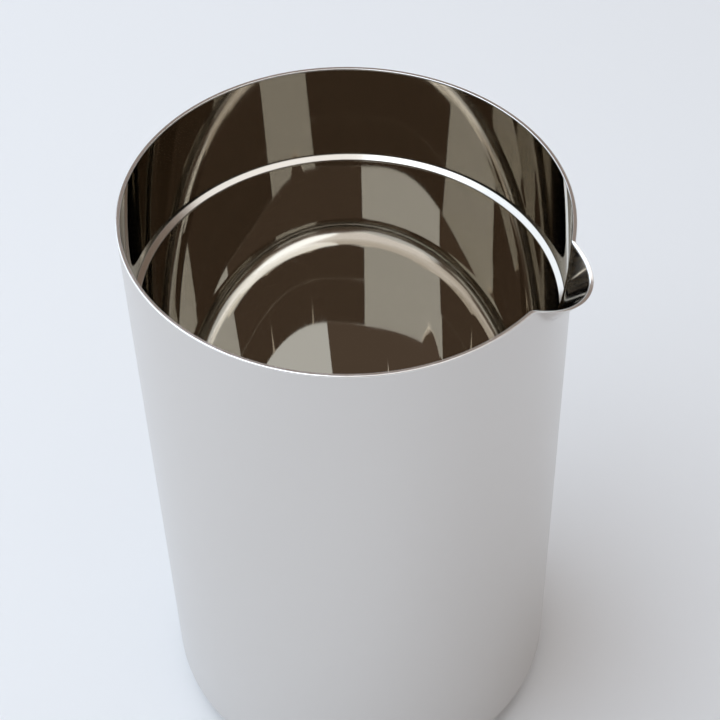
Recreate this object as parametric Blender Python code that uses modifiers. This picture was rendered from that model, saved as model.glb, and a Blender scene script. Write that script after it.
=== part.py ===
"""Double-wall stainless steel mixing vessel with a pressed pouring spout.

Metres, +Z up. The origin is the centre of the flat underside, and the spout points along +X.
The body is two nested sheet-steel cups, welded together at the rim, with an evacuated gap
between them that a base pan closes. Every turned piece is a profile swept round the Z axis.
"""
import math

import bmesh
import bpy

NAME = "mixing_vessel"

# Driving dimensions
HEIGHT = 0.1400             # rest face to the top of the rim
RADIUS = 0.044              # outside of the body
SHEET = 0.00036             # wall of both cups
NEST_GAP = 0.0001           # between the two sheets where they nest under the rim
FIT_GAP = 0.0003            # between pieces that touch
CORNER = 0.0068             # outer radius where the body turns into the base
BASE_OPENING = 0.0350       # radius of the opening in the underside of the outer shell

BEAD_HEIGHT = 0.00045       # ground weld that joins the two sheets
BEAD_ROUND = 0.00015        # softened edges of the weld

SHOULDER_DEPTH = 0.0234     # rim down to the step in the liner
SHOULDER_DROP = 0.0013      # height of the step
SHOULDER_STEP = 0.0012      # how far the liner steps in, which opens the insulating gap
FLOOR_HEIGHT = 0.0133       # rest face to the inside floor
FLOOR_ROUND = 0.0042        # inside radius between the wall and the floor

SPOUT_REACH = 0.00595       # how far the lip stands out past the body
SPOUT_DEPTH = 0.0095        # rim down to the root of the spout
SPOUT_HALF_ANGLE = math.radians(12.9)
SPOUT_SAG = 0.33            # the lip dips by this share of how far it stands out
SPOUT_CREASE = 0.0005       # softness of the bend where the spout leaves the wall
SPOUT_CROWDING = 0.45       # share by which the turning steps close up towards the spout
MOUTH_OVAL = 0.018          # pressing the spout leaves the mouth this much longer along +X

PAN_LIFT = 0.0009           # centre of the base pan above its flange
PAN_STEP = 0.0008           # from the base opening's edge in to the pan's step
DIMPLE_RADIUS = 0.0055      # pump-out dimple in the base pan
DIMPLE_RISE = 0.0012
PUMP_HOLE = 0.0010          # radius of the hole in the dimple
PLUG_RADIUS = 0.0040
PLUG_DEPTH = 0.0009
COVER_THICKNESS = 0.0004
COVER_RADIUS = 0.0339
GROOVE_RADIUS = 0.0289      # shallow turned groove in the cover's underside
GROOVE_WIDTH = 0.0012
GROOVE_DEPTH = 0.0001
ADHESIVE_OUTER = 0.0270     # ring of adhesive between the cover and the pan
ADHESIVE_INNER = 0.0235
WELD_WIDTH = 0.0005
PAN_LAP = 0.0022            # how far the pan's flange lies over the shell's base
GETTER_OFFSET = 0.0190      # centre of the getter from the axis
GETTER_RADIUS = 0.0045
PELLET_HEIGHT = 0.0006
TRAY_SHEET = 0.0002
TRAY_WALL = 0.0003          # thickness of the getter tray's wall
TRAY_HEIGHT = 0.0008
FOIL_THICKNESS = 0.00015
FOIL_SLIT = math.radians(5)
FOIL_LOW_MARGIN = 0.001     # foil's lower edge above the liner's bottom round
FOIL_HIGH_MARGIN = 0.002    # foil's upper edge below the step in the liner

WALL_STEPS = 72             # turning steps of the body
BASE_STEPS = 48             # turning steps of the pieces in the base
SMALL_STEPS = 24            # turning steps of the getter and the seal
ARC_STEPS = 4               # straight pieces in a quarter round

# Sizes that follow from them
SPOUT_FLOOR = HEIGHT - SPOUT_DEPTH - 6 * SPOUT_CREASE
SHELL_TOP = HEIGHT - BEAD_HEIGHT - FIT_GAP
SHELL_INNER = RADIUS - SHEET
LINER_OUTER = SHELL_INNER - NEST_GAP
LINER_INNER = LINER_OUTER - SHEET
CUP_OUTER = LINER_OUTER - SHOULDER_STEP
CUP_INNER = CUP_OUTER - SHEET
SHOULDER_TOP = HEIGHT - SHOULDER_DEPTH
SHOULDER_FOOT = SHOULDER_TOP - SHOULDER_DROP
LINER_UNDERSIDE = FLOOR_HEIGHT - SHEET
FLANGE_BOTTOM = SHEET + FIT_GAP
PAN_BOTTOM = FLANGE_BOTTOM + PAN_LIFT
PAN_TOP = PAN_BOTTOM + SHEET


def clear_scene():
    for old in list(bpy.data.objects):
        bpy.data.objects.remove(old, do_unlink=True)


def make_collection(name):
    collection = bpy.data.collections.new(name)
    bpy.context.scene.collection.children.link(collection)
    return collection


def metal(name, colour, roughness, metallic=1.0):
    material = bpy.data.materials.new(name)
    material.use_nodes = True
    shader = material.node_tree.nodes["Principled BSDF"]
    shader.inputs["Base Color"].default_value = (*colour, 1.0)
    shader.inputs["Roughness"].default_value = roughness
    shader.inputs["Metallic"].default_value = metallic
    material.diffuse_color = (*colour, 1.0)
    return material


def arc(centre_x, centre_z, radius, start, end, steps=ARC_STEPS):
    """Points of an arc in the XZ plane, both ends included; the angles are in degrees."""
    points = []
    for i in range(steps + 1):
        angle = math.radians(start + (end - start) * i / steps)
        points.append((centre_x + radius * math.cos(angle), centre_z + radius * math.sin(angle)))
    return points


def spout_rows():
    """Heights of the rings that the spout bends, from the sheets' top edge downwards."""
    depths = (0.0, 0.0018, 0.0036, 0.0056, 0.0076, 0.0096, 0.0122)
    return [SHELL_TOP - depth for depth in depths]


def turned(name, profile, closed, steps, material, collection, location=(0, 0, 0)):
    """A profile in the XZ plane, outer side first and top to bottom, swept round Z."""
    mesh = bpy.data.meshes.new(name)
    edges = [(i, i + 1) for i in range(len(profile) - 1)]
    if closed:
        edges.append((len(profile) - 1, 0))
    mesh.from_pydata([(x, 0, z) for x, z in profile], edges, [])
    piece = bpy.data.objects.new(name, mesh)
    collection.objects.link(piece)
    piece.location = location
    mesh.materials.append(material)
    screw = piece.modifiers.new("Turn", "SCREW")
    screw.axis = "Z"
    screw.steps = steps
    screw.render_steps = steps
    screw.use_merge_vertices = True
    screw.merge_threshold = 0.00001
    screw.use_smooth_shade = True
    return piece


def applied(piece):
    """Replace the piece's mesh with its evaluated one and drop its modifiers."""
    bpy.context.view_layer.update()
    evaluated = piece.evaluated_get(bpy.context.evaluated_depsgraph_get())
    mesh = bpy.data.meshes.new_from_object(evaluated)
    piece.modifiers.clear()
    piece.data = mesh
    return piece


def spout_push(angle, height):
    """How far the spout pushes the wall outwards at this angle from +X and this height."""
    across = angle / SPOUT_HALF_ANGLE
    depth = HEIGHT - height
    push = SPOUT_REACH * (1 - across ** 2 - depth / SPOUT_DEPTH)
    return (push + math.hypot(push, SPOUT_CREASE)) / 2


def press_wall(piece):
    """Bend the turned wall into its oval mouth and spout, with more turning steps near the spout."""
    applied(piece)
    for vertex in piece.data.vertices:
        x, y, z = vertex.co
        radius = math.hypot(x, y)
        if radius < 1e-6:
            continue
        angle = math.atan2(y, x)
        angle -= SPOUT_CROWDING * math.sin(angle)
        radius *= 1 + MOUTH_OVAL * math.cos(2 * angle) * z / HEIGHT
        push = spout_push(angle, z) if z > SPOUT_FLOOR else 0.0
        radius += push
        vertex.co = (radius * math.cos(angle), radius * math.sin(angle), z - SPOUT_SAG * push)
    split_alike(piece)
    finish_smooth(piece)


def split_alike(piece):
    """Cut bent quads along their shorter diagonal, so nested sheets are faceted the same way."""
    work = bmesh.new()
    work.from_mesh(piece.data)
    bmesh.ops.triangulate(work, faces=work.faces, quad_method="SHORT_EDGE")
    work.to_mesh(piece.data)
    work.free()


def finish_smooth(piece):
    piece.data.shade_smooth()
    piece.data.set_sharp_from_angle(angle=math.radians(35))


def make_outer_shell(collection):
    rows = spout_rows()
    bend = RADIUS - CORNER
    profile = [(RADIUS, z) for z in rows]
    profile += arc(bend, CORNER, CORNER, 0, -90)
    profile += [(BASE_OPENING, 0.0), (BASE_OPENING, SHEET)]
    profile += arc(bend, CORNER, CORNER - SHEET, -90, 0)
    profile += [(SHELL_INNER, z) for z in reversed(rows)]
    steel = metal("satin_steel", (0.62, 0.62, 0.61), 0.38)
    press_wall(turned("outer_shell", profile, True, WALL_STEPS, steel, collection))


def make_inner_liner(collection):
    rows = spout_rows()
    outer_round = FLOOR_ROUND + SHEET
    profile = [(0.0, FLOOR_HEIGHT)]
    profile += arc(CUP_INNER - FLOOR_ROUND, FLOOR_HEIGHT + FLOOR_ROUND, FLOOR_ROUND, -90, 0)
    profile += [(CUP_INNER, SHOULDER_FOOT), (LINER_INNER, SHOULDER_TOP)]
    profile += [(LINER_INNER, z) for z in reversed(rows)]
    profile += [(LINER_OUTER, z) for z in rows]
    profile += [(LINER_OUTER, SHOULDER_TOP), (CUP_OUTER, SHOULDER_FOOT)]
    profile += arc(CUP_OUTER - outer_round, LINER_UNDERSIDE + outer_round, outer_round, 0, -90)
    profile += [(0.0, LINER_UNDERSIDE)]
    steel = metal("polished_steel", (0.60, 0.58, 0.55), 0.16)
    press_wall(turned("inner_liner", profile, False, WALL_STEPS, steel, collection))


def make_rim_weld(collection):
    """The weld bead over both sheets' edges, ground flush and slightly rounded."""
    foot = HEIGHT - BEAD_HEIGHT
    high = HEIGHT - BEAD_ROUND
    profile = arc(RADIUS - BEAD_ROUND, high, BEAD_ROUND, 90, 0, 2)
    profile += [(RADIUS, foot), (LINER_INNER, foot)]
    profile += arc(LINER_INNER + BEAD_ROUND, high, BEAD_ROUND, 180, 90, 2)
    steel = metal("ground_steel", (0.68, 0.67, 0.65), 0.22)
    press_wall(turned("rim_weld", profile, True, WALL_STEPS, steel, collection))


def make_base_pan(collection):
    """Pressed disc that closes the gap from below, with the pump-out dimple at its centre."""
    edge = BASE_OPENING + PAN_LAP
    step_out = BASE_OPENING - PAN_STEP
    step_in = step_out - PAN_LIFT
    dimple_out = DIMPLE_RADIUS + DIMPLE_RISE
    top = PAN_TOP + DIMPLE_RISE
    profile = [
        (PUMP_HOLE, top), (DIMPLE_RADIUS, top), (dimple_out, PAN_TOP), (step_in, PAN_TOP),
        (step_out, FLANGE_BOTTOM + SHEET), (edge, FLANGE_BOTTOM + SHEET), (edge, FLANGE_BOTTOM),
        (step_out - SHEET / 2, FLANGE_BOTTOM), (step_in - SHEET / 2, PAN_BOTTOM),
        (dimple_out - SHEET / 2, PAN_BOTTOM), (DIMPLE_RADIUS - SHEET / 2, top - SHEET),
        (PUMP_HOLE, top - SHEET),
    ]
    steel = metal("plain_steel", (0.52, 0.52, 0.52), 0.45)
    finish_smooth(applied(turned("base_pan", profile, True, BASE_STEPS, steel, collection)))


def make_base_weld(collection):
    """Thin fillet of weld where the pan meets the edge of the shell's base opening."""
    outer = BASE_OPENING - FIT_GAP
    profile = [(outer, SHEET), (outer, SHEET / 2), (outer - WELD_WIDTH, SHEET)]
    steel = metal("weld_steel", (0.45, 0.44, 0.43), 0.5)
    turned("base_weld", profile, True, BASE_STEPS, steel, collection)


def make_base_cover(collection):
    """Flat cosmetic disc over the pan, flush with the shell, with one shallow turned groove."""
    profile = [(0.0, COVER_THICKNESS), (COVER_RADIUS, COVER_THICKNESS), (COVER_RADIUS, 0.0)]
    for across, deep in ((0.5, 0), (0.3, 1), (-0.3, 1), (-0.5, 0)):
        profile.append((GROOVE_RADIUS + across * GROOVE_WIDTH, deep * GROOVE_DEPTH))
    profile.append((0.0, 0.0))
    steel = metal("cover_steel", (0.58, 0.58, 0.58), 0.32)
    finish_smooth(applied(turned("base_cover", profile, False, BASE_STEPS, steel, collection)))


def make_cover_adhesive(collection):
    low = COVER_THICKNESS + FIT_GAP
    high = PAN_BOTTOM - FIT_GAP
    profile = [(ADHESIVE_OUTER, high), (ADHESIVE_OUTER, low)]
    profile += [(ADHESIVE_INNER, low), (ADHESIVE_INNER, high)]
    rubber = metal("adhesive", (0.75, 0.75, 0.72), 0.7, 0.0)
    turned("cover_adhesive", profile, True, BASE_STEPS, rubber, collection)


def make_seal_plug(collection):
    """Bead of solder glass, melted into the pump-out dimple from below."""
    ceiling = PAN_TOP + DIMPLE_RISE - SHEET - FIT_GAP
    profile = [(0.0, ceiling), (PLUG_RADIUS, ceiling)]
    for across, down in ((0.9, 0.75), (0.7, 1.0), (0.0, 1.0)):
        profile.append((across * PLUG_RADIUS, ceiling - down * PLUG_DEPTH))
    glass = metal("solder_glass", (0.10, 0.12, 0.10), 0.15, 0.0)
    turned("seal_plug", profile, False, SMALL_STEPS, glass, collection)


def make_getter(collection):
    """A pressed powder pellet in its tray, which keeps the gap's vacuum hard."""
    place = (GETTER_OFFSET, 0, PAN_TOP + FIT_GAP)
    wall = GETTER_RADIUS + FIT_GAP
    rim = wall + TRAY_WALL
    profile = [(0.0, TRAY_SHEET), (wall, TRAY_SHEET), (wall, TRAY_HEIGHT)]
    profile += [(rim, TRAY_HEIGHT), (rim, 0.0), (0.0, 0.0)]
    tin = metal("getter_tray_steel", (0.55, 0.55, 0.56), 0.4)
    turned("getter_tray", profile, False, SMALL_STEPS, tin, collection, place)
    low = TRAY_SHEET + FIT_GAP
    high = low + PELLET_HEIGHT
    pellet = [(0.0, high), (GETTER_RADIUS, high), (GETTER_RADIUS, low), (0.0, low)]
    powder = metal("getter_powder", (0.12, 0.12, 0.13), 0.85, 0.2)
    turned("getter_pellet", pellet, False, SMALL_STEPS, powder, collection, place)


def make_foil(collection):
    """Reflective foil round the liner's wall, left open by a narrow slit, and under its floor."""
    foil = metal("bright_foil", (0.85, 0.85, 0.86), 0.12)
    radius = CUP_OUTER + FIT_GAP
    low = FLOOR_HEIGHT + FLOOR_ROUND + FOIL_LOW_MARGIN
    high = SHOULDER_FOOT - FOIL_HIGH_MARGIN
    wrap = turned("foil_wrap", [(radius, high), (radius, low)], False, WALL_STEPS, foil, collection)
    wrap.modifiers["Turn"].angle = 2 * math.pi - FOIL_SLIT
    skin = wrap.modifiers.new("Thickness", "SOLIDIFY")
    skin.thickness = FOIL_THICKNESS
    skin.offset = 1.0
    press_wall(wrap)
    disc_top = LINER_UNDERSIDE - FIT_GAP
    disc_radius = CUP_INNER - FLOOR_ROUND
    disc_low = disc_top - FOIL_THICKNESS
    disc = [(0.0, disc_top), (disc_radius, disc_top), (disc_radius, disc_low), (0.0, disc_low)]
    turned("foil_disc", disc, False, BASE_STEPS, foil, collection)


def main():
    clear_scene()
    collection = make_collection(NAME)
    make_outer_shell(collection)
    make_inner_liner(collection)
    make_rim_weld(collection)
    make_base_pan(collection)
    make_base_weld(collection)
    make_base_cover(collection)
    make_cover_adhesive(collection)
    make_seal_plug(collection)
    make_getter(collection)
    make_foil(collection)


main()
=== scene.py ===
"""Looks of the double-wall steel mixing vessel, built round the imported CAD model.

Metres, +Z up, origin at the centre of the underside, spout along +X.
"""
import math

import bpy
from mathutils import Matrix, Vector


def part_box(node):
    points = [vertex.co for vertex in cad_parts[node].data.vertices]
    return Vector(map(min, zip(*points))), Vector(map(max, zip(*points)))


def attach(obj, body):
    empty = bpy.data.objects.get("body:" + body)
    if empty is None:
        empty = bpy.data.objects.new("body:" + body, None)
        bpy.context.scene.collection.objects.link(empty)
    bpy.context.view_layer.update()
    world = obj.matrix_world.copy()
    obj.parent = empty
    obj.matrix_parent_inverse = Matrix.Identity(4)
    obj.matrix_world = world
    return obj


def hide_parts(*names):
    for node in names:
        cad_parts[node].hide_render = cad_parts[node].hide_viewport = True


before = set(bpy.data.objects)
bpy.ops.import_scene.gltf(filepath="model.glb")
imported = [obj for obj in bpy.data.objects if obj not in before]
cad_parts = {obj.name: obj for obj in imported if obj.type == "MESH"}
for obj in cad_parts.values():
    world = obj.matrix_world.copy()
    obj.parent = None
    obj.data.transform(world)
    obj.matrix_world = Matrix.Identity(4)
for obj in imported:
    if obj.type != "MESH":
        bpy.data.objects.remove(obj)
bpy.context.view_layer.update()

# Sizes read from the frame
rim_low, rim_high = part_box("rim_weld")
liner_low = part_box("inner_liner")[0]
cover_low, cover_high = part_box("base_cover")
weld_low, weld_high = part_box("base_weld")

HEIGHT = rim_high[2]

# Sizes that the frame's boxes don't give
RADIUS = 0.044
SHEET = 0.00036
NEST_GAP = 0.0001
CORNER = 0.0068
BASE_OPENING = 0.0350
EDGE_ROUND = 0.0001
RIM_OUTER_ROUND = 0.00022
RIM_INNER_ROUND = 0.00014
GROOVE_RADIUS = 0.0289
GROOVE_HALF_WIDTH = 0.0008
GROOVE_DEPTH = 0.00012
WELD_WIDTH = 0.0005
SHOULDER_DEPTH = 0.0234
SHOULDER_DROP = 0.0013
SHOULDER_STEP = 0.0012
SHOULDER_ROUND = 0.0002
SHOULDER_TILT = 62
FLOOR_ROUND = 0.0048    # height of the round between wall and inside floor
FLOOR_SPREAD = 0.0060   # its width
SPOUT_REACH = 0.00595
SPOUT_DEPTH = 0.0095
SPOUT_HALF_ANGLE = math.radians(12.9)
SPOUT_SAG = 0.33
SPOUT_CREASE = 0.0005
SPOUT_FLOOR = HEIGHT - SPOUT_DEPTH - 6 * SPOUT_CREASE
MOUTH_OVAL = 0.018
CROWDING = 0.45
BEAD_HEIGHT = HEIGHT - SPOUT_SAG * SPOUT_REACH - rim_low[2]

CAMERA_TURN = math.radians(27.8)
CAMERA_DISTANCE = 8.37856 * RADIUS
CAMERA_RISE = math.radians(43.0154)
CAMERA_YAW = math.radians(0.3916)
CAMERA_PITCH = math.radians(47.5545)
CAMERA_ROLL = math.radians(1.9053)
CAMERA_LENS = 1903.67 / 720 * 36

STEPS = 400
SHELL_INNER = RADIUS - SHEET
LINER_OUTER = SHELL_INNER - NEST_GAP
LINER_INNER = LINER_OUTER - SHEET
CUP_OUTER = LINER_OUTER - SHOULDER_STEP
CUP_INNER = CUP_OUTER - SHEET
SHOULDER_TOP = HEIGHT - SHOULDER_DEPTH
SHOULDER_FOOT = SHOULDER_TOP - SHOULDER_DROP
LINER_UNDERSIDE = liner_low[2]
FLOOR_HEIGHT = LINER_UNDERSIDE + SHEET

# Mesh rows
EDGE_ROW = 0.00012      # keeps a flat side flat where it meets a round
SPOUT_ROW = 0.00035     # between rows where the spout bends the wall
SEAM_GAP = 0.00002      # between the rim weld and the sheets below it
RIM_STEPS = 900

# Liner's roughness: the polished top, the brushed cup, and what the rounds and the spout add
TOP_ROUGHNESS = 0.028
CUP_ROUGHNESS = 0.018
CLOUD_ROUGHNESS = 0.004
ROUND_ROUGHNESS = 0.12
STEP_ROUGHNESS = 0.12
SPOUT_ROUGHNESS = 0.05
SPOUT_INSIDE = (0.0438, 0.0450)     # distance along +X over which the spout's finish comes in

# Plain stock: colour, dark colour, roughness, its spread, grains per metre, bump and metallic
WELD_STOCK = ((0.45, 0.44, 0.43), (0.30, 0.28, 0.26), 0.45, 0.1, 2500, 0.00002)
MILL_STOCK = ((0.52, 0.52, 0.52), (0.45, 0.45, 0.46), 0.42, 0.08, 1200, 0.000004)
ADHESIVE_STOCK = ((0.75, 0.75, 0.72), (0.66, 0.66, 0.62), 0.7, 0.08, 900, 0.00003, 0.0)
SOLDER_GLASS_STOCK = ((0.10, 0.12, 0.10), (0.06, 0.07, 0.06), 0.16, 0.05, 1500, 0.000004, 0.0)
GETTER_STOCK = ((0.14, 0.14, 0.15), (0.07, 0.07, 0.08), 0.85, 0.08, 9000, 0.00002, 0.2)

# Studio
FLOOR_HALF = 6.0
FLOOR_DROP = 0.0002
PALE_SURROUND = (0.62, 0.65, 0.68)
DIM_ROOM = (0.22, 0.17, 0.14)
HORIZON_TOP = 14
ROOM_START = 30

# Two soft lights: azimuth, elevation, distance, size, power and colour
KEY_LIGHT = (172, 46, 1.25, 2.0, 19, (0.74, 0.86, 1.0))
FILL_LIGHT = (0, 88, 2.0, 2.4, 21, (0.94, 0.97, 1.0))


# ---------------------------------------------------------------- shapes

def spout_push(angle, height):
    across = angle / SPOUT_HALF_ANGLE
    depth = HEIGHT - height
    push = SPOUT_REACH * (1 - across ** 2 - depth / SPOUT_DEPTH)
    return (push + math.hypot(push, SPOUT_CREASE)) / 2


def wall_point(radius, angle, height):
    """A point of the pressed wall: oval towards the mouth, and pushed out at the spout."""
    radius *= 1 + MOUTH_OVAL * math.cos(2 * angle) * height / HEIGHT
    push = spout_push(angle, height) if height > SPOUT_FLOOR else 0.0
    radius += push
    return (radius * math.cos(angle), radius * math.sin(angle), height - SPOUT_SAG * push)


def step_angles(steps):
    angles = []
    for i in range(steps):
        angle = 2 * math.pi * i / steps - math.pi
        angles.append(angle - CROWDING * math.sin(angle))
    return angles


def arc(centre_x, centre_z, radius, start, end, steps):
    points = []
    for i in range(steps + 1):
        angle = math.radians(start + (end - start) * i / steps)
        points.append((centre_x + radius * math.cos(angle), centre_z + radius * math.sin(angle)))
    return points


def line(start, end, steps):
    """Points between two ends, neither included."""
    points = []
    for i in range(1, steps):
        share = i / steps
        points.append((start[0] + (end[0] - start[0]) * share, start[1] + (end[1] - start[1]) * share))
    return points


def turned(name, profile, closed, steps=STEPS):
    """A closed body: the profile, outer side first and top to bottom, carried round the wall."""
    angles = step_angles(steps)
    vertices = []
    rings = []
    for x, z in profile:
        if x < 1e-7:
            rings.append([len(vertices)] * steps)
            vertices.append((0.0, 0.0, z))
        else:
            rings.append(list(range(len(vertices), len(vertices) + steps)))
            vertices += [wall_point(x, angle, z) for angle in angles]
    faces = []
    pairs = list(zip(rings, rings[1:]))
    if closed:
        pairs.append((rings[-1], rings[0]))
    for upper, lower in pairs:
        for i in range(steps):
            j = (i + 1) % steps
            corners = [upper[i], lower[i], lower[j], upper[j]]
            face = [v for n, v in enumerate(corners) if v not in corners[:n]]
            if len(face) > 2:
                faces.append(face)
    mesh = bpy.data.meshes.new(name)
    mesh.from_pydata(vertices, [], faces)
    mesh.validate()
    mesh.shade_smooth()
    mesh.set_sharp_from_angle(angle=math.radians(40))
    piece = bpy.data.objects.new(name, mesh)
    bpy.context.scene.collection.objects.link(piece)
    return piece


def wall_rows(top):
    """Heights down the straight wall, close together where the spout bends it."""
    rows = []
    height = top
    while height > SPOUT_FLOOR - 0.001:
        rows.append(height)
        height -= SPOUT_ROW
    return rows


def make_outer_shell():
    top = HEIGHT - BEAD_HEIGHT - SEAM_GAP
    rows = wall_rows(top)
    bend = RADIUS - CORNER
    profile = [(RADIUS, z) for z in rows]
    profile += line(profile[-1], (RADIUS, CORNER), 24)
    profile += [(RADIUS, CORNER + EDGE_ROW)]
    profile += arc(bend, CORNER, CORNER, 0, -90, 20)
    profile += [(bend - EDGE_ROW, 0.0)]
    profile += line((bend, 0.0), (BASE_OPENING, 0.0), 4)
    profile += arc(BASE_OPENING + EDGE_ROUND, EDGE_ROUND, EDGE_ROUND, -90, -180, 3)
    profile += [(BASE_OPENING, SHEET)]
    profile += arc(bend, CORNER, CORNER - SHEET, -90, 0, 12)
    profile += [(SHELL_INNER, z) for z in reversed(rows)]
    return turned("shell_surface", profile, True)


def make_inner_liner():
    top = HEIGHT - BEAD_HEIGHT - SEAM_GAP
    rows = wall_rows(top)
    outer_round = FLOOR_ROUND + SHEET
    floor_edge = CUP_INNER - FLOOR_SPREAD
    profile = [(0.0, FLOOR_HEIGHT)]
    profile += line((0.0, FLOOR_HEIGHT), (floor_edge, FLOOR_HEIGHT), 30)
    profile += [(floor_edge - EDGE_ROW, FLOOR_HEIGHT)]
    for x, z in arc(0, 0, 1, -90, 0, 28):
        profile.append((floor_edge + FLOOR_SPREAD * x, FLOOR_HEIGHT + FLOOR_ROUND * (1 + z)))
    tilt = math.radians(SHOULDER_TILT)
    face = SHOULDER_STEP - 2 * SHOULDER_ROUND * (1 - math.cos(tilt))
    foot = SHOULDER_TOP - (2 * SHOULDER_ROUND * math.sin(tilt) + face / math.tan(tilt))
    profile += [(CUP_INNER, FLOOR_HEIGHT + FLOOR_ROUND + EDGE_ROW)]
    profile += line((CUP_INNER, FLOOR_HEIGHT + FLOOR_ROUND), (CUP_INNER, foot), 20)
    profile += [(CUP_INNER, foot - EDGE_ROW)]
    profile += arc(CUP_INNER + SHOULDER_ROUND, foot, SHOULDER_ROUND, 180, 180 - SHOULDER_TILT, 8)
    profile += arc(LINER_INNER - SHOULDER_ROUND, SHOULDER_TOP, SHOULDER_ROUND, -SHOULDER_TILT, 0, 8)
    profile += [(LINER_INNER, SHOULDER_TOP + EDGE_ROW)]
    profile += line((LINER_INNER, SHOULDER_TOP), (LINER_INNER, rows[-1]), 10)
    profile += [(LINER_INNER, z) for z in reversed(rows)]
    profile += [(LINER_OUTER, z) for z in rows]
    profile += [(LINER_OUTER, SHOULDER_TOP), (CUP_OUTER, SHOULDER_FOOT)]
    profile += arc(CUP_OUTER - outer_round, LINER_UNDERSIDE + outer_round, outer_round, 0, -90, 12)
    profile += [(0.0, LINER_UNDERSIDE)]
    return turned("liner_surface", profile, False)


def make_rim():
    foot = HEIGHT - BEAD_HEIGHT
    outer = RIM_OUTER_ROUND
    inner = RIM_INNER_ROUND
    profile = arc(RADIUS - outer, HEIGHT - outer, outer, 90, 0, 8)
    profile += [(RADIUS, foot), (LINER_INNER, foot)]
    profile += arc(LINER_INNER + inner, HEIGHT - inner, inner, 180, 90, 6)
    return turned("rim_surface", profile, True, RIM_STEPS)


def make_cover():
    radius = cover_high[0]
    thick = cover_high[2] - cover_low[2]
    groove_outer = GROOVE_RADIUS + GROOVE_HALF_WIDTH
    groove_inner = GROOVE_RADIUS - GROOVE_HALF_WIDTH
    profile = [(0.0, thick), (radius, thick)]
    profile += arc(radius - EDGE_ROUND, EDGE_ROUND, EDGE_ROUND, 0, -90, 4)
    profile += line((radius - EDGE_ROUND, 0.0), (groove_outer, 0.0), 6)
    for i in range(17):
        share = i / 16
        dip = GROOVE_DEPTH * (0.5 - 0.5 * math.cos(2 * math.pi * share))
        profile.append((groove_outer - 2 * GROOVE_HALF_WIDTH * share, dip))
    profile += line((groove_inner, 0.0), (0.0, 0.0), 24)
    profile += [(0.0, 0.0)]
    return turned("cover_surface", profile, False)


def make_weld():
    outer = weld_high[0]
    top = weld_high[2]
    deep = top - weld_low[2]
    profile = [(outer, top), (outer, weld_low[2])]
    profile += [(outer + WELD_WIDTH * x, top + deep * z) for x, z in arc(0, 0, 1, -100, -180, 6)]
    return turned("weld_surface", profile, True)


# ---------------------------------------------------------------- materials

def principled(name, colour, roughness, metallic=1.0):
    material = bpy.data.materials.new(name)
    material.use_nodes = True
    tree = material.node_tree
    shader = tree.nodes["Principled BSDF"]
    shader.inputs["Base Color"].default_value = (*colour, 1)
    shader.inputs["Metallic"].default_value = metallic
    shader.inputs["Roughness"].default_value = roughness
    return material, tree, shader


def math_node(tree, operation, first, second=None, third=None):
    node = tree.nodes.new("ShaderNodeMath")
    node.operation = operation
    for socket, value in zip(node.inputs, (first, second, third)):
        if value is None:
            continue
        if isinstance(value, (int, float)):
            socket.default_value = value
        else:
            tree.links.new(value, socket)
    return node.outputs[0]


def ramp(tree, value, low, high, to_low, to_high, smooth=False):
    node = tree.nodes.new("ShaderNodeMapRange")
    node.interpolation_type = "SMOOTHSTEP" if smooth else "LINEAR"
    tree.links.new(value, node.inputs["Value"])
    numbers = {"From Min": low, "From Max": high, "To Min": to_low, "To Max": to_high}
    for name, number in numbers.items():
        node.inputs[name].default_value = number
    return node.outputs[0]


def round_coordinates(tree):
    """Distance from the axis, height, and the two level coordinates, in metres."""
    spot = tree.nodes.new("ShaderNodeTexCoord").outputs["Object"]
    split = tree.nodes.new("ShaderNodeSeparateXYZ")
    tree.links.new(spot, split.inputs[0])
    x, y, z = split.outputs
    squares = math_node(tree, "MULTIPLY_ADD", x, x, math_node(tree, "MULTIPLY", y, y))
    return math_node(tree, "SQRT", squares), z, x, y


def noise(tree, vector, scale, detail=3.0, roughness=0.55):
    node = tree.nodes.new("ShaderNodeTexNoise")
    node.inputs["Scale"].default_value = scale
    node.inputs["Detail"].default_value = detail
    node.inputs["Roughness"].default_value = roughness
    tree.links.new(vector, node.inputs["Vector"])
    return node.outputs["Fac"]


def stretched(tree, x, y, z, scale):
    """Vector of the three values, each times its own scale."""
    node = tree.nodes.new("ShaderNodeCombineXYZ")
    for socket, value, factor in zip(node.inputs, (x, y, z), scale):
        if factor:
            tree.links.new(math_node(tree, "MULTIPLY", value, factor), socket)
    return node.outputs[0]


def round_vector(tree, coordinates, around, along):
    """Noise vector that runs round the axis without a seam: `around` and `along` per metre."""
    radius, z, x, y = coordinates
    unit_x = math_node(tree, "DIVIDE", x, radius)
    unit_y = math_node(tree, "DIVIDE", y, radius)
    return stretched(tree, unit_x, unit_y, z, (around * RADIUS, around * RADIUS, along))


def bump(tree, shader, height, distance, strength=1.0):
    node = tree.nodes.new("ShaderNodeBump")
    node.inputs["Distance"].default_value = distance
    node.inputs["Strength"].default_value = strength
    tree.links.new(height, node.inputs["Height"])
    tree.links.new(node.outputs[0], shader.inputs["Normal"])
    return node


def brushed_round(tree, shader, amount):
    """Brushing marks that run round the axis, so gloss spreads across them."""
    tangent = tree.nodes.new("ShaderNodeTangent")
    tangent.direction_type = "RADIAL"
    tangent.axis = "Z"
    tree.links.new(tangent.outputs[0], shader.inputs["Tangent"])
    shader.inputs["Anisotropic"].default_value = amount
    shader.inputs["Anisotropic Rotation"].default_value = 0.25


def tint(tree, shader, mask, first, second):
    mix = tree.nodes.new("ShaderNodeMix")
    mix.data_type = "RGBA"
    tree.links.new(mask, mix.inputs[0])
    mix.inputs[6].default_value = (*first, 1)
    mix.inputs[7].default_value = (*second, 1)
    tree.links.new(mix.outputs[2], shader.inputs["Base Color"])


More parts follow.
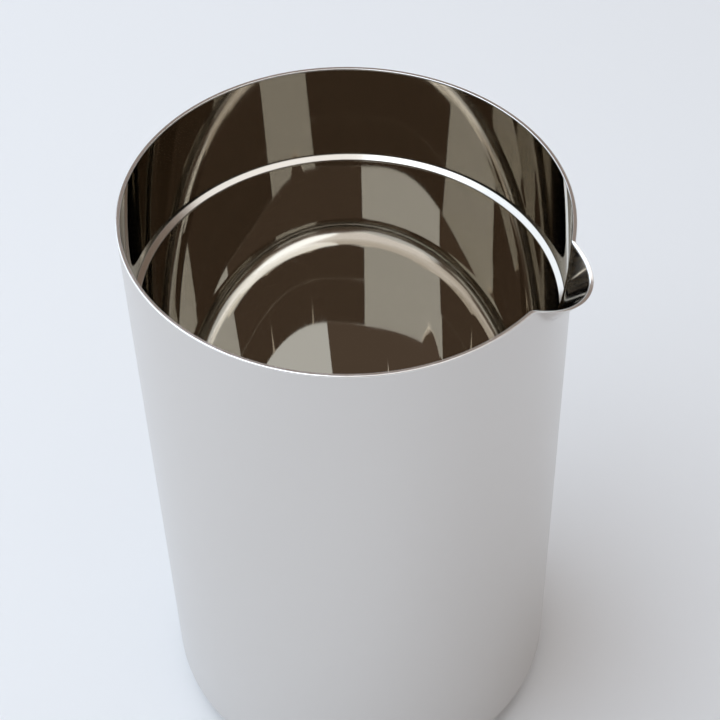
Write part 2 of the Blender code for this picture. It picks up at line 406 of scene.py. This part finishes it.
def satin_shell():
    """Outside of the body: satin, brushed round in lines finer than the eye resolves."""
    material, tree, shader = principled("satin_steel_surface", (0.69, 0.665, 0.64), 0.24)
    coordinates = round_coordinates(tree)
    lines = noise(tree, round_vector(tree, coordinates, 14, 9000), 1.0, 2.0)
    cloud = noise(tree, round_vector(tree, coordinates, 40, 25), 1.0, 3.0)
    tree.links.new(ramp(tree, cloud, 0.3, 0.7, 0.21, 0.27), shader.inputs["Roughness"])
    tint(tree, shader, cloud, (0.68, 0.655, 0.63), (0.70, 0.675, 0.65))
    brushed_round(tree, shader, 0.5)
    bump(tree, shader, lines, 0.0000004)
    return material


def polished_liner():
    """Inside: polished above the ring, brushed round below it, turned on the floor."""
    material, tree, shader = principled("polished_steel_surface", (0.66, 0.63, 0.58), 0.13)
    coordinates = round_coordinates(tree)
    radius, z, x, y = coordinates
    low = ramp(tree, z, SHOULDER_FOOT, SHOULDER_TOP, 1.0, 0.0, smooth=True)
    cloud = noise(tree, round_vector(tree, coordinates, 60, 30), 1.0, 3.0)
    uneven = ramp(tree, cloud, 0.3, 0.7, -CLOUD_ROUGHNESS, CLOUD_ROUGHNESS)
    rough = math_node(tree, "ADD", ramp(tree, low, 0, 1, TOP_ROUGHNESS, CUP_ROUGHNESS), uneven)
    below = ramp(tree, z, FLOOR_HEIGHT + 0.00005, FLOOR_HEIGHT + 0.0003, 0.0, 1.0)
    round_top = FLOOR_HEIGHT + FLOOR_ROUND
    above = ramp(tree, z, round_top, round_top - 0.0003, 0.0, 1.0)
    in_round = math_node(tree, "MULTIPLY", below, above)
    rough = math_node(tree, "MULTIPLY_ADD", in_round, ROUND_ROUGHNESS, rough)
    over = ramp(tree, z, SHOULDER_FOOT, SHOULDER_FOOT + 0.0001, 0.0, 1.0)
    under = ramp(tree, z, SHOULDER_TOP + 0.0001, SHOULDER_TOP, 0.0, STEP_ROUGHNESS)
    rough = math_node(tree, "MULTIPLY_ADD", over, under, rough)
    in_spout = ramp(tree, x, *SPOUT_INSIDE, 0.0, SPOUT_ROUGHNESS)
    rough = math_node(tree, "ADD", rough, in_spout)
    tree.links.new(rough, shader.inputs["Roughness"])
    brushed_round(tree, shader, 0.6)
    ripples = noise(tree, round_vector(tree, coordinates, 1100, 6), 1.0, 3.0)
    turning = noise(tree, stretched(tree, radius, radius, z, (5000, 0, 0)), 1.0, 2.0)
    on_floor = ramp(tree, z, FLOOR_HEIGHT + 0.0005, round_top, 1.0, 0.0)
    height = tree.nodes.new("ShaderNodeMix")
    tree.links.new(on_floor, height.inputs[0])
    tree.links.new(ripples, height.inputs[2])
    tree.links.new(turning, height.inputs[3])
    bump(tree, shader, height.outputs[0], 0.00000008)
    return material


def ground_rim():
    material, tree, shader = principled("ground_steel_surface", (0.86, 0.84, 0.82), 0.16, 0.92)
    coordinates = round_coordinates(tree)
    marks = noise(tree, round_vector(tree, coordinates, 500, 60), 1.0, 3.0)
    tree.links.new(ramp(tree, marks, 0.3, 0.7, 0.12, 0.2), shader.inputs["Roughness"])
    brushed_round(tree, shader, 0.4)
    bump(tree, shader, marks, 0.0000002)
    return material


def turned_cover():
    """Underside disc: circular turning marks, and scuffs from standing on bar tops."""
    material, tree, shader = principled("cover_steel_surface", (0.58, 0.58, 0.58), 0.32)
    radius, z, x, y = round_coordinates(tree)
    rings = noise(tree, stretched(tree, radius, radius, z, (4000, 0, 0)), 1.0, 2.0)
    scuffs = noise(tree, stretched(tree, x, y, z, (260, 90, 0)), 1.0, 5.0, 0.7)
    tree.links.new(ramp(tree, scuffs, 0.35, 0.75, 0.26, 0.44), shader.inputs["Roughness"])
    tint(tree, shader, scuffs, (0.60, 0.60, 0.60), (0.54, 0.54, 0.55))
    brushed_round(tree, shader, 0.6)
    bump(tree, shader, rings, 0.000002)
    return material


def grained(name, colour, dark, roughness, spread, scale, depth, metallic=1.0):
    """Plain stock with an even grain: mill finish, weld, powder, rubber or glass."""
    material, tree, shader = principled(name, colour, roughness, metallic)
    spot = tree.nodes.new("ShaderNodeTexCoord").outputs["Object"]
    grain = noise(tree, spot, scale, 4.0, 0.6)
    uneven = ramp(tree, grain, 0.3, 0.7, roughness - spread, roughness + spread)
    tree.links.new(uneven, shader.inputs["Roughness"])
    tint(tree, shader, grain, dark, colour)
    bump(tree, shader, grain, depth)
    return material


def bright_foil():
    material, tree, shader = principled("bright_foil_surface", (0.85, 0.85, 0.86), 0.14)
    spot = tree.nodes.new("ShaderNodeTexCoord").outputs["Object"]
    creases = tree.nodes.new("ShaderNodeTexVoronoi")
    creases.feature = "DISTANCE_TO_EDGE"
    creases.inputs["Scale"].default_value = 160
    tree.links.new(spot, creases.inputs["Vector"])
    wrinkles = noise(tree, spot, 420, 3.0)
    height = math_node(tree, "MULTIPLY_ADD", wrinkles, 0.4, creases.outputs["Distance"])
    tree.links.new(ramp(tree, wrinkles, 0.3, 0.7, 0.10, 0.22), shader.inputs["Roughness"])
    bump(tree, shader, height, 0.00012, 0.7)
    return material


def pale_floor():
    material, tree, shader = principled("pale_floor", (0.82, 0.83, 0.84), 0.5, 0.0)
    spot = tree.nodes.new("ShaderNodeTexCoord").outputs["Object"]
    grain = noise(tree, spot, 900, 2.0)
    tree.links.new(ramp(tree, grain, 0.3, 0.7, 0.45, 0.6), shader.inputs["Roughness"])
    shader.inputs["Specular IOR Level"].default_value = 0.25
    return material


def dress(piece, material):
    piece.data.materials.clear()
    piece.data.materials.append(material)


# ---------------------------------------------------------------- scene

def make_camera():
    """Camera placed from the middle of the mouth, in body radii, looking down into the cup."""
    forward = Vector((
        math.sin(CAMERA_YAW) * math.cos(CAMERA_PITCH),
        math.cos(CAMERA_YAW) * math.cos(CAMERA_PITCH),
        -math.sin(CAMERA_PITCH),
    ))
    right = Vector((math.cos(CAMERA_YAW), -math.sin(CAMERA_YAW), 0))
    down = forward.cross(right)
    right_rolled = math.cos(CAMERA_ROLL) * right + math.sin(CAMERA_ROLL) * down
    down_rolled = -math.sin(CAMERA_ROLL) * right + math.cos(CAMERA_ROLL) * down
    spot = CAMERA_DISTANCE * Vector((0, -math.cos(CAMERA_RISE), math.sin(CAMERA_RISE)))
    spin = Matrix.Rotation(CAMERA_TURN, 3, "Z")
    basis = Matrix((spin @ right_rolled, spin @ -down_rolled, spin @ -forward)).transposed()
    data = bpy.data.cameras.new("camera")
    data.sensor_width = 36
    data.lens = CAMERA_LENS
    camera = bpy.data.objects.new("camera", data)
    camera.matrix_world = Matrix.Translation(spin @ spot + Vector((0, 0, HEIGHT))) @ basis.to_4x4()
    bpy.context.scene.collection.objects.link(camera)
    bpy.context.scene.camera = camera
    return camera


def make_floor():
    mesh = bpy.data.meshes.new("floor")
    half = FLOOR_HALF
    corners = [(-half, -half, 0), (half, -half, 0), (half, half, 0), (-half, half, 0)]
    mesh.from_pydata(corners, [], [(0, 1, 2, 3)])
    floor = bpy.data.objects.new("floor", mesh)
    floor.location.z = -FLOOR_DROP
    bpy.context.scene.collection.objects.link(floor)
    dress(floor, pale_floor())
    return floor


def make_world():
    """Plain studio surround: pale low down, dim and warm above."""
    world = bpy.data.worlds.new("studio")
    world.use_nodes = True
    tree = world.node_tree
    split = tree.nodes.new("ShaderNodeSeparateXYZ")
    tree.links.new(tree.nodes.new("ShaderNodeTexCoord").outputs["Generated"], split.inputs[0])
    rise = math_node(tree, "ARCSINE", split.outputs[2])
    elevation = math_node(tree, "MULTIPLY", rise, math.degrees(1))
    mix = tree.nodes.new("ShaderNodeMix")
    mix.data_type = "RGBA"
    height = ramp(tree, elevation, HORIZON_TOP, ROOM_START, 0.0, 1.0, smooth=True)
    tree.links.new(height, mix.inputs[0])
    mix.inputs[6].default_value = (*PALE_SURROUND, 1)
    mix.inputs[7].default_value = (*DIM_ROOM, 1)
    light = tree.nodes["Background"]
    tree.links.new(mix.outputs[2], light.inputs["Color"])
    light.inputs["Strength"].default_value = 1.0
    bpy.context.scene.world = world
    return world


def area_light(name, azimuth, elevation, distance, size, power, colour):
    """A square soft light aimed at the vessel; azimuth is from the camera's right-hand side."""
    data = bpy.data.lights.new(name, "AREA")
    data.shape = "SQUARE"
    data.size = size
    data.energy = power
    data.color = colour
    lamp = bpy.data.objects.new(name, data)
    turn = math.radians(azimuth) + CAMERA_TURN
    rise = math.radians(elevation)
    direction = Vector((math.cos(turn) * math.cos(rise), math.sin(turn) * math.cos(rise), math.sin(rise)))
    target = Vector((0, 0, HEIGHT / 2))
    lamp.location = target + direction * distance
    lamp.rotation_euler = direction.to_track_quat("Z", "Y").to_euler()
    bpy.context.scene.collection.objects.link(lamp)
    return lamp


def place(piece, material, node):
    dress(piece, material)
    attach(piece, "root")
    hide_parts(node)
    return piece


def dress_node(node, material):
    """Give a CAD node that stays its finished material."""
    piece = bpy.data.objects[node]
    for slot in piece.material_slots:
        slot.material = material


place(make_outer_shell(), satin_shell(), "outer_shell")
place(make_inner_liner(), polished_liner(), "inner_liner")
place(make_rim(), ground_rim(), "rim_weld")
place(make_cover(), turned_cover(), "base_cover")
weld_grain = grained("weld_steel_surface", *WELD_STOCK)
place(make_weld(), weld_grain, "base_weld")

mill = grained("mill_steel_surface", *MILL_STOCK)
dress_node("base_pan", mill)
dress_node("getter_tray", mill)
dress_node("cover_adhesive", grained("adhesive_surface", *ADHESIVE_STOCK))
dress_node("seal_plug", grained("solder_glass_surface", *SOLDER_GLASS_STOCK))
dress_node("getter_pellet", grained("getter_powder_surface", *GETTER_STOCK))
foil = bright_foil()
dress_node("foil_wrap", foil)
dress_node("foil_disc", foil)

make_floor()
make_world()
area_light("key_light", *KEY_LIGHT)
area_light("fill_light", *FILL_LIGHT)
make_camera()
bpy.context.scene.view_settings.view_transform = "Standard"
bpy.context.scene.cycles.glossy_bounces = 10
